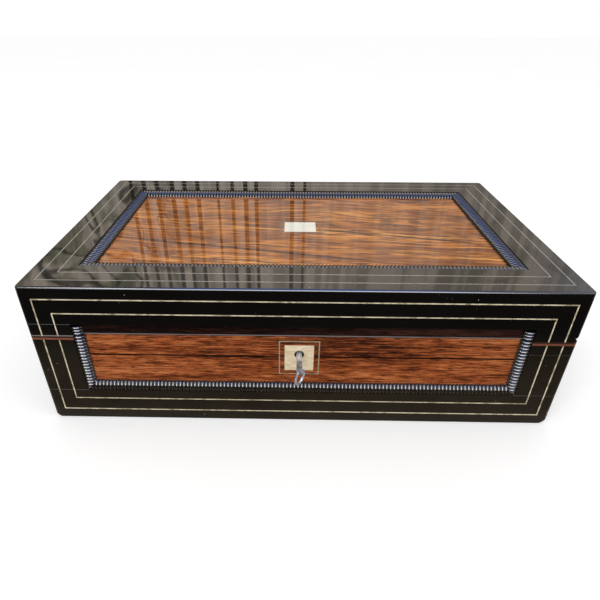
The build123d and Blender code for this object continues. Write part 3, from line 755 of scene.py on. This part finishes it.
def plain_wood(name, dark, light, roughness, painted_rim_shade=False):
    """Oiled wood with straight grain along X, for the inside and the lipping, and where asked painted shade
    on the lipping's outer faces.
    """
    finish = Finish(name, Specular_IOR_Level=0.35)
    grain = finish.grain(plain_grain, detail=6, roughness=0.6, distortion=0.3)
    band = finish.grain([plain_band * s for s in plain_grain], (3, 3, 3), detail=3)
    pores = finish.grain(plain_pores, detail=2)
    mixed = finish.plus(finish.times(grain, 0.65), finish.times(band, 0.35))
    colour = finish.ramp(mixed, [(0.34, dark), (0.64, light)])
    colour = finish.mix(finish.span(pores, 0.62, 0.72, 0.0, 0.5), colour, dark)
    if painted_rim_shade:
        # Painted shade over and under the lipping's line
        colour = finish.mix(rim_shadow(finish), colour, shade_and_seam_black)
    finish.paint("Base Color", colour)
    finish.paint("Roughness", finish.span(grain, *noise_range, roughness, roughness + plain_spread))
    relief = finish.bump(grain, 0.04 * mm, 0.35)
    finish.paint("Normal", finish.bump(finish.span(pores, 0.62, 0.74), -0.04 * mm, 0.6, relief))
    return finish


# Metals, shell, glass, leather, paper and silk


def metal(name, bright, dull, roughness, tarnish, metallic=1.0):
    """Aged metal: tarnish in clouds, brighter where it is rubbed, with fine scratches."""
    finish = Finish(name, Metallic=metallic)
    cloud = finish.grain(metal_cloud, detail=5, roughness=0.6)
    fine = finish.grain(metal_grain, (2, 4, 6), detail=3)
    scratch = finish.grain(metal_scratches, detail=1)
    share = finish.span(cloud, 0.38, 0.68, 0.0, tarnish)
    share = finish.math("SUBTRACT", share, finish.times(finish.edges(), 0.5), clamp=True)
    colour = finish.mix(share, bright, dull)
    finish.paint("Base Color", finish.mix(finish.span(fine, 0.58, 0.75, 0.0, 0.5), colour, dull))
    rough = finish.span(cloud, 0.35, 0.7, roughness, roughness + metal_spread)
    dulled = finish.span(scratch, *metal_scratch_span, 0.0, scratch_dulls)
    finish.paint("Roughness", finish.plus(rough, dulled))
    relief = finish.bump(fine, 0.02 * mm, 0.35)
    finish.paint("Normal", finish.bump(finish.span(scratch, *metal_scratch_span), -0.01 * mm, 0.5, relief))
    return finish


def nacre(name, pale, deep):
    """Mother of pearl: wavy growth layers in cream with a faint rose and green play."""
    finish = Finish(name, Coat_Weight=0.7, Coat_Roughness=0.04, Specular_IOR_Level=0.6)
    warp = finish.grain(shell_warp, detail=3)
    layers = finish.grain(shell_layers, detail=4, roughness=0.55, distortion=1.4)
    colour = finish.mix(finish.span(layers, 0.35, 0.68), pale, deep)
    colour = finish.mix(nacre_play_share, colour, finish.ramp(warp, nacre_play), "MULTIPLY")
    finish.paint("Base Color", colour)
    finish.paint("Roughness", finish.span(layers, *noise_range, *shell_roughness))
    finish.paint("Normal", finish.bump(layers, 0.03 * mm, 0.35))
    return finish


def glass():
    """Old pressed glass, clear with a green cast and a wavy surface."""
    finish = Finish("glass", Transmission_Weight=1.0, IOR=1.5, Roughness=0.02)
    wave = finish.grain(glass_waves, detail=2)
    finish.paint("Base Color", finish.ramp(wave, glass_tones))
    finish.paint("Normal", finish.bump(wave, 0.2 * mm, 0.4))
    return finish


def from_edge(finish, low, high):
    """How far inside the nearest edge of a lying sheet a place is."""
    x, y, _ = finish.axes()
    middle = (low.y + high.y) / 2
    reach = (high.y - low.y) / 2
    edge_x = finish.minus(high.x, finish.amount(x))
    edge_y = finish.minus(reach, finish.amount(finish.minus(y, middle)))
    return finish.math("MINIMUM", edge_x, edge_y)


def leather(name, low, high):
    """Skiver leather with a fine grain and two rubbed gilt lines round its edge."""
    finish = Finish(name, Specular_IOR_Level=0.4)
    bumps = finish.cells(skin_cells, "SMOOTH_F1")
    cloud = finish.grain(skin_cloud, detail=4)
    edge = from_edge(finish, low, high)
    lines = [
        finish.span(finish.amount(finish.minus(edge, inset)), half, 0.7 * half)
        for inset, half in gilt_lines
    ]
    rubbed = finish.span(finish.grain(gilt_wear, detail=3), 0.40, 0.50)
    gilt = finish.times(finish.most(*lines), rubbed)
    colour = finish.ramp(cloud, [(0.3, skin_dark), (0.7, skin_light)])
    finish.paint("Base Color", finish.mix(gilt, colour, gilt_colour))
    finish.paint("Metallic", finish.times(gilt, 0.9))
    finish.paint("Roughness", finish.span(cloud, *noise_range, *skin_roughness))
    finish.paint("Normal", finish.bump(bumps, 0.06 * mm, 0.5))
    return finish


def paper(name, dark, light):
    """Laid lining paper, foxed with age."""
    finish = Finish(name, Specular_IOR_Level=0.2)
    fibres = finish.grain(paper_fibres, detail=6, roughness=0.7)
    spots = finish.grain(paper_spots, detail=5)
    colour = finish.ramp(fibres, [(0.3, dark), (0.7, light)])
    finish.paint("Base Color", finish.mix(finish.span(spots, 0.60, 0.72, 0.0, 0.6), colour, dark))
    finish.paint("Roughness", finish.span(fibres, *noise_range, *paper_roughness))
    finish.paint("Normal", finish.bump(fibres, 0.05 * mm, 0.4))
    return finish


def silk(name, dark, light):
    """Ribbed silk ribbon."""
    finish = Finish(name, Sheen_Weight=0.5, Sheen_Roughness=0.4)
    rib = finish.grain(silk_ribs, detail=1)
    finish.paint("Base Color", finish.ramp(rib, [(0.35, dark), (0.65, light)]))
    finish.paint("Roughness", finish.span(rib, *noise_range, *silk_roughness))
    finish.paint("Normal", finish.bump(rib, 0.08 * mm, 0.6))
    return finish


# Pieces made here, in place of CAD nodes


def new_piece(name, body, mesh, hidden):
    """A piece that rides on a body and stands for a CAD node."""
    piece = bpy.data.objects.new(name, mesh)
    bpy.context.scene.collection.objects.link(piece)
    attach(piece, body)
    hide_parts(hidden)
    return piece


def bead(along, length):
    """How full the moulding is at a place along it: beads, each a small arc, with sharp valleys between."""
    pitch = length / round(length / ripple_pitch)
    half = pitch / 2
    arc = (half**2 + ripple_depth**2) / (2 * ripple_depth)
    off = (along % pitch) - half
    return 1 - (arc - math.sqrt(max(arc**2 - off**2, 0.0))) / ripple_rise


def ripple_section(width):
    """The moulding's section, as places across and heights: a low wall, a quarter oval up and one down."""
    peak = peak_share * width
    points = [(0.0, 0.0)]
    for j in range(arc_steps + 1):
        turn = math.pi * j / arc_steps - math.pi / 2
        rising = turn < 0
        reach = (peak if rising else width - peak) * math.sin(turn)
        least = wall_share if rising else 0.0
        points.append((peak + reach, ripple_rise * (least + (1 - least) * max(0.0, math.cos(turn)))))
    return points


def ripple_run(form, corner, along, inward, outward, length, width, mitres):
    """One run of ripple moulding, from a corner at its outer edge, mitred inward where it is asked for."""
    rings = bead_steps * round(length / ripple_pitch)
    section = ripple_section(width)
    count = len(section)
    loops = []
    for i in range(rings + 1):
        loop = []
        for reach, height in section:
            place = length * i / rings
            for _ in range(mitre_rounds):
                full = bead(place, length)
                across = width * peak_share + full * (reach - width * peak_share)
                least = across if mitres[0] else 0.0
                most = length - across if mitres[1] else length
                place = min(max(length * i / rings, least), most)
            loop.append(form.verts.new(corner + along * place + inward * across + outward * full * height))
        loops.append(loop)
    for first, second in zip(loops, loops[1:]):
        for j in range(count):
            k = (j + 1) % count
            form.faces.new((first[j], first[k], second[k], second[j]))
    form.faces.new(reversed(loops[0]))
    form.faces.new(loops[-1])


def ripple_piece(name, body, runs, hidden):
    """All the runs of one moulding, as one piece."""
    form = bmesh.new()
    for run in runs:
        ripple_run(form, *run)
    bmesh.ops.remove_doubles(form, verts=form.verts, dist=weld_reach)
    bmesh.ops.dissolve_degenerate(form, edges=form.edges, dist=weld_reach)
    bmesh.ops.recalc_face_normals(form, faces=form.faces)
    for face in form.faces:
        face.smooth = True
    mesh = bpy.data.meshes.new(name)
    form.to_mesh(mesh)
    form.free()
    mesh.set_sharp_from_angle(angle=crease_angle)
    return new_piece(name, body, mesh, hidden)


def top_ripple():
    """Four mitred runs round the top panel."""
    low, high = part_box("lid_top_moulding")
    lengths = (high.x - low.x, high.y - low.y)
    corners = [(low.x, low.y), (high.x, low.y), (high.x, high.y), (low.x, high.y)]
    ways = [right, back, -right, -back]
    runs = []
    for i, (x, y) in enumerate(corners):
        corner = Vector((x, y, low.z))
        inward = ways[(i + 1) % 4]
        runs.append((corner, ways[i], inward, up, lengths[i % 2], top_ripple_width, (True, True)))
    return ripple_piece("lid_top_ripple", "lid", runs, "lid_top_moulding")


def dull_side_runs(piece):
    """Gives the two runs at the sides, up to their mitres, the second material."""
    low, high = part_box("lid_top_moulding")
    for face in piece.data.polygons:
        from_side = min(face.center.x - low.x, high.x - face.center.x)
        from_end = min(face.center.y - low.y, high.y - face.center.y)
        face.material_index = 1 if from_side < from_end else 0


def upright_runs(low, high, mitres):
    """The two upright runs beside the front panel."""
    left_foot = Vector((low.x, high.y, low.z))
    right_foot = Vector((high.x, high.y, low.z))
    tall = high.z - low.z
    return [
        (left_foot, up, right, -back, tall, front_ripple_width, mitres),
        (right_foot, up, -right, -back, tall, front_ripple_width, mitres),
    ]


def base_ripple():
    """Three runs round the front panel: two posts, and the foot between them."""
    low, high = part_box("base_front_moulding")
    left_foot = Vector((low.x, high.y, low.z))
    foot = (left_foot, right, up, -back, high.x - low.x, front_ripple_width, (True, True))
    runs = [foot, *upright_runs(low, high, (True, False))]
    return ripple_piece("base_front_ripple", "base", runs, "base_front_moulding")


def lid_ripple_ends():
    """The two short returns on the lid, over the posts."""
    runs = upright_runs(*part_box("lid_front_moulding"), (False, False))
    return ripple_piece("lid_front_ripple", "lid", runs, "lid_front_moulding")


def ribbon_tab():
    """The silk tab that lifts the base's flap: a thin strip, a little wavy, with a swallow-tail end."""
    low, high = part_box("base_flap_tab")
    wide, deep, thick = high - low
    mesh = bpy.data.meshes.new("ribbon_tab")
    points, faces = [], []
    for i in range(ribbon_rows + 1):
        for j in range(ribbon_columns + 1):
            s, t = i / ribbon_rows, j / ribbon_columns
            tail = (1 - abs(2 * t - 1)) * ribbon_tail * (1 - s) ** 3
            wave = ribbon_long_wave * math.sin(5.5 * s + 1.0)
            wave += ribbon_cross_wave * math.sin(9 * t + 4 * s)
            height = low.z + thick * (ribbon_height + wave)
            points.append((low.x + t * wide, low.y + (s + tail) * deep, height))
    row = ribbon_columns + 1
    for i in range(ribbon_rows):
        for j in range(ribbon_columns):
            a = i * row + j
            faces.append((a, a + 1, a + row + 1, a + row))
    mesh.from_pydata(points, [], faces)
    for face in mesh.polygons:
        face.use_smooth = True
    piece = new_piece("ribbon_tab", "base_flap", mesh, "base_flap_tab")
    solid = piece.modifiers.new("thickness", "SOLIDIFY")
    solid.thickness = ribbon_thickness
    solid.offset = 0
    return piece


# Finishes on the object

ebony_top = ebonised("ebony top", specular=0.02, coat=1.0, roughness=0.22, brown_low=0.0)
ebony_front = ebonised(
    "ebony front", specular=0.05, coat=0.0, roughness=0.26, brown_low=1.0, cracks=front_cracks
)
ebony_lid = ebonised(
    "ebony lid front", specular=0.05, coat=0.0, roughness=0.26, brown_low=1.0, cracks=front_cracks, lip_highlight=True
)
ebony_sides = ebonised("ebony sides", specular=0.25, coat=0.2, roughness=0.22, brown_low=0.5)
ebony_ripple = ebonised("ebony ripple", specular=0.15, coat=1.0, roughness=0.14, brown_low=1.0)
ebony_ripple.lacquer(ripple_gloss, ripple_blur)
ebony_ripple_side = ebonised("ebony ripple side", specular=0.15, coat=0.5, roughness=0.2, brown_low=0.0)
ebony_ripple_side.lacquer(ripple_gloss, ripple_blur)
ebony_arris = ebonised("ebony arris", specular=0.1, coat=1.0, roughness=0.18, brown_low=0.0)
ebony_arris.lacquer(arris_gloss, arris_blur)
dress_by_facing((ebony_top, ebony_front, ebony_arris, ebony_sides), "lid_top_border", "lid_top_board")
ebony_lid.dress("lid_front_border")
ebony_front.dress("base_front_border")
ebony_sides.dress(
    "base_front_board", "base_back_board", "base_left_board", "base_right_board",
    "lid_front_board", "lid_back_board", "lid_left_board", "lid_right_board",
)
top_beads = top_ripple()
for ripple in (top_beads, base_ripple(), lid_ripple_ends()):
    ebony_ripple.dress_piece(ripple)
ebony_ripple_side.dress_piece(top_beads)
dull_side_runs(top_beads)

rosewood_top().dress("lid_top_panel")
rosewood_front("rosewood front", front_wood, coat=0.15).dress("base_front_panel")
# The lid's front strip takes the darkened rosewood: painted shade
rosewood_front("rosewood painted shade", painted_shade_wood, coat=0.05, lip_highlight=True).dress("lid_front_panel")

plain_wood("mahogany", dark=(0.11, 0.030, 0.012), light=(0.30, 0.105, 0.040), roughness=0.42).dress(
    "base_bottom_board", "compartment_dividers", "pen_tray", "base_flap_board", "lid_flap_board",
    "base_flap_ledges", "lid_flap_ledges",
)
plain_wood("lipping", dark=(0.10, 0.024, 0.012), light=(0.24, 0.070, 0.034), roughness=0.4, painted_rim_shade=True).dress(
    "base_lipping"
)

# Brass on the top, greyed: partly tarnish, partly a painted reflection of the sky
metal(
    "top line", bright=(0.42, 0.40, 0.35), dull=(0.24, 0.21, 0.17),
    roughness=0.34, tarnish=0.7, metallic=0.5,
).dress("lid_top_stringing")
metal(
    "plaque line", bright=(0.24, 0.20, 0.16), dull=(0.13, 0.10, 0.08),
    roughness=0.36, tarnish=0.7, metallic=0.4,
).dress("plaque_line")
metal(
    "front line", bright=(0.92, 0.82, 0.57), dull=(0.26, 0.19, 0.10),
    roughness=0.34, tarnish=1.0, metallic=0.2,
).dress("lid_front_stringing", "base_stringing")
metal(
    "escutcheon line", bright=(0.46, 0.37, 0.22), dull=(0.18, 0.12, 0.07),
    roughness=0.36, tarnish=0.8, metallic=0.2,
).dress("escutcheon_line")
metal("brass", bright=(0.78, 0.57, 0.25), dull=(0.30, 0.19, 0.07), roughness=0.22, tarnish=0.7).dress(
    "lock_plate", "lock_selvedge", "lock_screws", "hinge_base_leaves", "hinge_lid_leaves",
    "hinge_base_screws", "hinge_lid_screws", "inkwell_collars", "inkwell_hinge_pins",
    "inkwell_cap_left", "inkwell_cap_right", "base_flap_pins", "lid_flap_pins", "lid_flap_catch",
    "link_plate", "link_plate_screws",
)
metal("steel", bright=(0.60, 0.59, 0.63), dull=(0.26, 0.25, 0.27), roughness=0.20, tarnish=0.6).dress(
    "lock_bolt", "lock_case", "lock_drill_pin", "lock_spring", "hinge_pins",
)
metal(
    "key steel", bright=(0.66, 0.67, 0.73), dull=(0.15, 0.145, 0.155),
    roughness=0.20, tarnish=0.8, metallic=0.45,
).dress("key")
nacre("nacre gold", pale=(0.95, 0.82, 0.60), deep=(0.76, 0.58, 0.36)).dress("escutcheon")
nacre("nacre pale", pale=(0.92, 0.92, 0.85), deep=(0.82, 0.80, 0.70)).dress("plaque")
glass().dress("inkwell_bottles")
for side in ("base", "lid"):
    skin_name = side + "_flap_leather"
    leather("leather " + side, *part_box(skin_name)).dress(skin_name)
paper("lining paper", dark=(0.30, 0.24, 0.16), light=(0.55, 0.47, 0.34)).dress("well_lining")
silk("silk", dark=(0.14, 0.010, 0.016), light=(0.30, 0.030, 0.040)).dress_piece(ribbon_tab())


# Studio


def plane(name, corners, material):
    """A flat sheet of the stage."""
    mesh = bpy.data.meshes.new(name)
    mesh.from_pydata(corners, [], [(0, 1, 2, 3)])
    mesh.materials.append(material)
    sheet = bpy.data.objects.new(name, mesh)
    bpy.context.scene.collection.objects.link(sheet)
    return sheet


def floor():
    """A pale floor that the camera and reflections see as white, apart from the object's shadow."""
    finish = Finish("floor", Specular_IOR_Level=0.0, Roughness=1.0)
    cloud = finish.grain(floor_cloud, detail=3)
    finish.paint("Base Color", finish.ramp(cloud, floor_tones))
    finish.paint("Emission Color", white)
    seen = finish.rays("Is Camera Ray", "Is Glossy Ray", "Is Transmission Ray")
    finish.paint("Emission Strength", finish.times(seen, floor_lift))
    r = floor_reach
    plane("floor", [(-r, -r, 0), (r, -r, 0), (r, r, 0), (-r, r, 0)], finish.material)


def reflected_only(sheet):
    """Keeps a sheet of the stage out of everything but reflections in polish."""
    sheet.visible_camera = False
    sheet.visible_diffuse = False
    sheet.visible_shadow = False
    sheet.visible_transmission = False


def dark_cloth(name):
    """Near-black cloth, paler high up, for the sheets that only polish reflects."""
    finish = Finish(name, Roughness=0.9, Specular_IOR_Level=0.0)
    colour = finish.ramp(finish.grain(cloth_weave, detail=4), cloth_tones)
    height = finish.span(finish.axes()[2], *cloth_fade, 0.0, cloth_fade_share)
    finish.paint("Base Color", finish.mix(height, colour, cloth_top))
    return finish


def slats():
    """Dark upright slats far behind the object, which only its polish reflects."""
    finish = dark_cloth("slats")
    draw = random.Random(slat_seed)
    for i, steps in enumerate(slat_places):
        x = slat_left + slat_step * steps
        half = slat_half * (0.75 + 0.5 * draw.random())
        corners = [(x - half, slat_back, slat_low), (x + half, slat_back, slat_low)]
        corners += [(x + half, slat_back, slat_high), (x - half, slat_back, slat_high)]
        reflected_only(plane("slat_%d" % i, corners, finish.material))


def flag():
    """A dark cloth on the floor in front of the object, which only its polish reflects."""
    x, z = flag_half, flag_lift
    corners = [(-x, flag_far, z), (x, flag_far, z), (x, flag_near, z), (-x, flag_near, z)]
    reflected_only(plane("flag", corners, dark_cloth("flag").material))


class Sky(Tree):
    """The world under construction, with the direction that light comes from."""

    def __init__(self, tree):
        super().__init__(tree)
        self.nodes.clear()
        self.way = self.nodes.new("ShaderNodeTexCoord").outputs["Generated"]
        self.x, self.y, self.z = self.axes(self.way)
        self.high = self.span(self.z, *sky_start)

    def wall(self):
        """The wall's colour, with leaves at its sides, twigs on the left and haze on the right."""
        leaves = self.span(self.noise(self.way, leaf_scale, detail=5, distortion=1.0), 0.44, 0.60)
        beside = self.most(self.span(self.x, *leaf_left), self.span(self.x, *leaf_right))
        colour = self.mix(self.times(leaves, beside), self.ramp(self.z, wall_stops), leaf_colour)
        twigs = self.line_at(self.noise(self.way, twig_scale, detail=2, distortion=1.0), 0.5, twig_width)
        colour = self.mix(self.times(twigs, self.span(self.x, *twig_left)), colour, shade_and_seam_black)
        return self.mix(self.span(self.x, *haze_right), colour, haze_blue)

    def wall_light(self):
        """The wall's strength, in upright panes, less to the right."""
        across = self.math("DIVIDE", self.x, self.most(self.y, least_depth))
        place = self.join(self.times(across, pane_scale), self.times(self.z, pane_height), 0.0)
        return self.times(
            self.span(self.z, *wall_climb, *wall_strength),
            self.span(self.y, *wall_start),
            self.span(self.noise(place, detail=2), *pane_shades),
            self.span(self.x, *wall_aside),
        )

    def front_light(self):
        """The strength of the white in front, less to the sides."""
        aside = self.math("DIVIDE", self.amount(self.x), self.most(self.times(self.y, -1.0), least_depth))
        ahead = self.span(self.y, *reversed(wall_start), 0.0, front_strength)
        return self.times(ahead, self.span(aside, *front_aside))

    def blue_light(self):
        """The strength of the blue above, less overhead and to the sides."""
        return self.times(
            self.high,
            self.span(self.z, *sky_climb),
            self.span(self.x, *sky_left),
            self.span(self.x, *sky_right),
        )

    def reflected(self):
        """What polish sees: a warm wall behind, white in front and blue above."""
        around = self.mix(self.span(self.y, *wall_start), front_white, self.wall())
        blue = self.mix(self.span(self.amount(self.x), *side_start), sky_blue, side_blue)
        level = self.times(self.plus(self.wall_light(), self.front_light()), self.minus(1.0, self.high))
        return self.light(self.mix(self.high, around, blue), self.plus(level, self.blue_light()))

    def light(self, colour, strength):
        """A background of one colour and strength."""
        node = self.nodes.new("ShaderNodeBackground")
        self.put(colour, node.inputs["Color"])
        self.put(strength, node.inputs["Strength"])
        return node.outputs[0]

    def choose(self, share, a, b):
        """One of two backgrounds."""
        node = self.nodes.new("ShaderNodeMixShader")
        for value, socket in zip((share, a, b), node.inputs):
            self.put(value, socket)
        return node.outputs[0]


def world():
    """White to the camera and through glass, an even light on surfaces, coloured surroundings to polish."""
    made = bpy.data.worlds.new("studio")
    bpy.context.scene.world = made
    made.use_nodes = True
    sky = Sky(made.node_tree)
    seen = sky.choose(sky.rays("Is Glossy Ray"), sky.light(white, even_light), sky.reflected())
    seen = sky.choose(sky.rays("Is Camera Ray", "Is Transmission Ray"), seen, sky.light(white, 1.0))
    sky.put(seen, sky.nodes.new("ShaderNodeOutputWorld").inputs["Surface"])


def lamp(name, place, size, power):
    """A soft square lamp, turned to the object."""
    data = bpy.data.lights.new(name, "AREA")
    data.shape = "SQUARE"
    data.size = size
    data.energy = power
    made = bpy.data.objects.new(name, data)
    made.location = place
    made.rotation_euler = (lamp_aim - place).to_track_quat("-Z", "Y").to_euler()
    bpy.context.scene.collection.objects.link(made)


def camera():
    """The camera of the photograph."""
    data = bpy.data.cameras.new("camera")
    data.lens = camera_lens
    data.shift_x, data.shift_y = camera_shift
    data.clip_start = camera_near
    made = bpy.data.objects.new("camera", data)
    level = Matrix.Rotation(math.radians(90) - camera_pitch, 4, "X")
    turn = Matrix.Rotation(-camera_yaw, 4, "Z")
    roll = Matrix.Rotation(camera_roll, 4, "Z")
    made.matrix_world = Matrix.Translation(camera_place) @ turn @ level @ roll
    bpy.context.scene.collection.objects.link(made)
    bpy.context.scene.camera = made


camera()
floor()
slats()
flag()
world()
for lamp_values in lamps:
    lamp(*lamp_values)

bpy.context.scene.view_settings.view_transform = "Standard"
